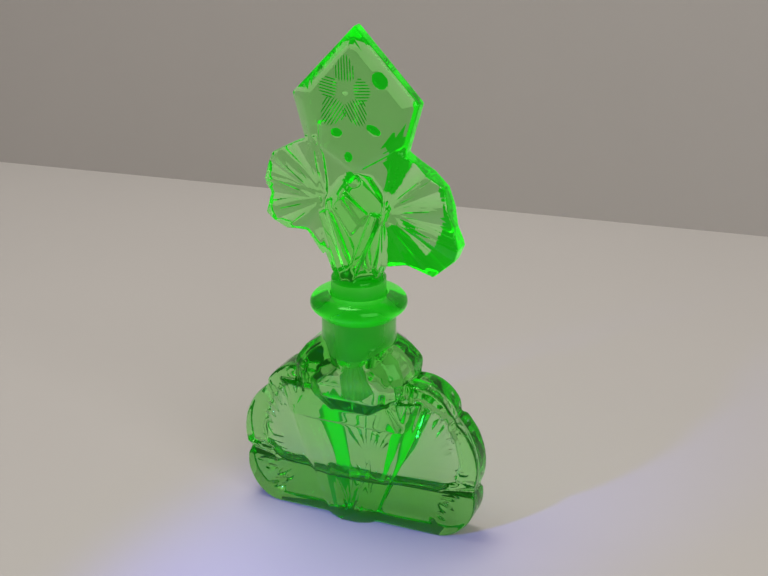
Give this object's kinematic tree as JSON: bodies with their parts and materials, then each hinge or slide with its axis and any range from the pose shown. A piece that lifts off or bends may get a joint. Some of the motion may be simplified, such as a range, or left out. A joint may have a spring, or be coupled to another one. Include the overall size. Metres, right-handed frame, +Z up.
{
  "type": "perfume bottle with ground stopper",
  "caption": "Pressed uranium-glass scent bottle with two scalloped fan lobes, a shoulder block and rolled lip, and a kite and fan stopper that lifts out and turns.",
  "frame": {"origin": "middle of the flat base on the table, on the axis of the neck", "axes": "+X across the lobes, towards the larger stopper fan; +Y to the back; +Z up along the neck's axis"},
  "size_m": [0.0768, 0.029, 0.1522],
  "materials": {
    "uranium_glass": "fire-polished clear green uranium glass",
    "stopper_glass": "fire-polished clear green uranium glass, ground on the plug",
    "ground_glass": "ground, frosted"
  },
  "bodies": {
    "bottle": {"bottle": "uranium_glass"},
    "dauber": {"dauber_stub": "ground_glass"},
    "stopper": {"stopper": "stopper_glass"}
  },
  "joints": [
    {"name": "stopper_lift", "type": "slide", "parent": "bottle", "child": "dauber", "axis": [0, 0, 1], "range_m": [0, 0.06]},
    {"name": "stopper_turn", "type": "hinge", "parent": "dauber", "child": "stopper", "pos_m": [0, 0, 0.0738], "axis": [0, 0, 1], "continuous": true}
  ]
}
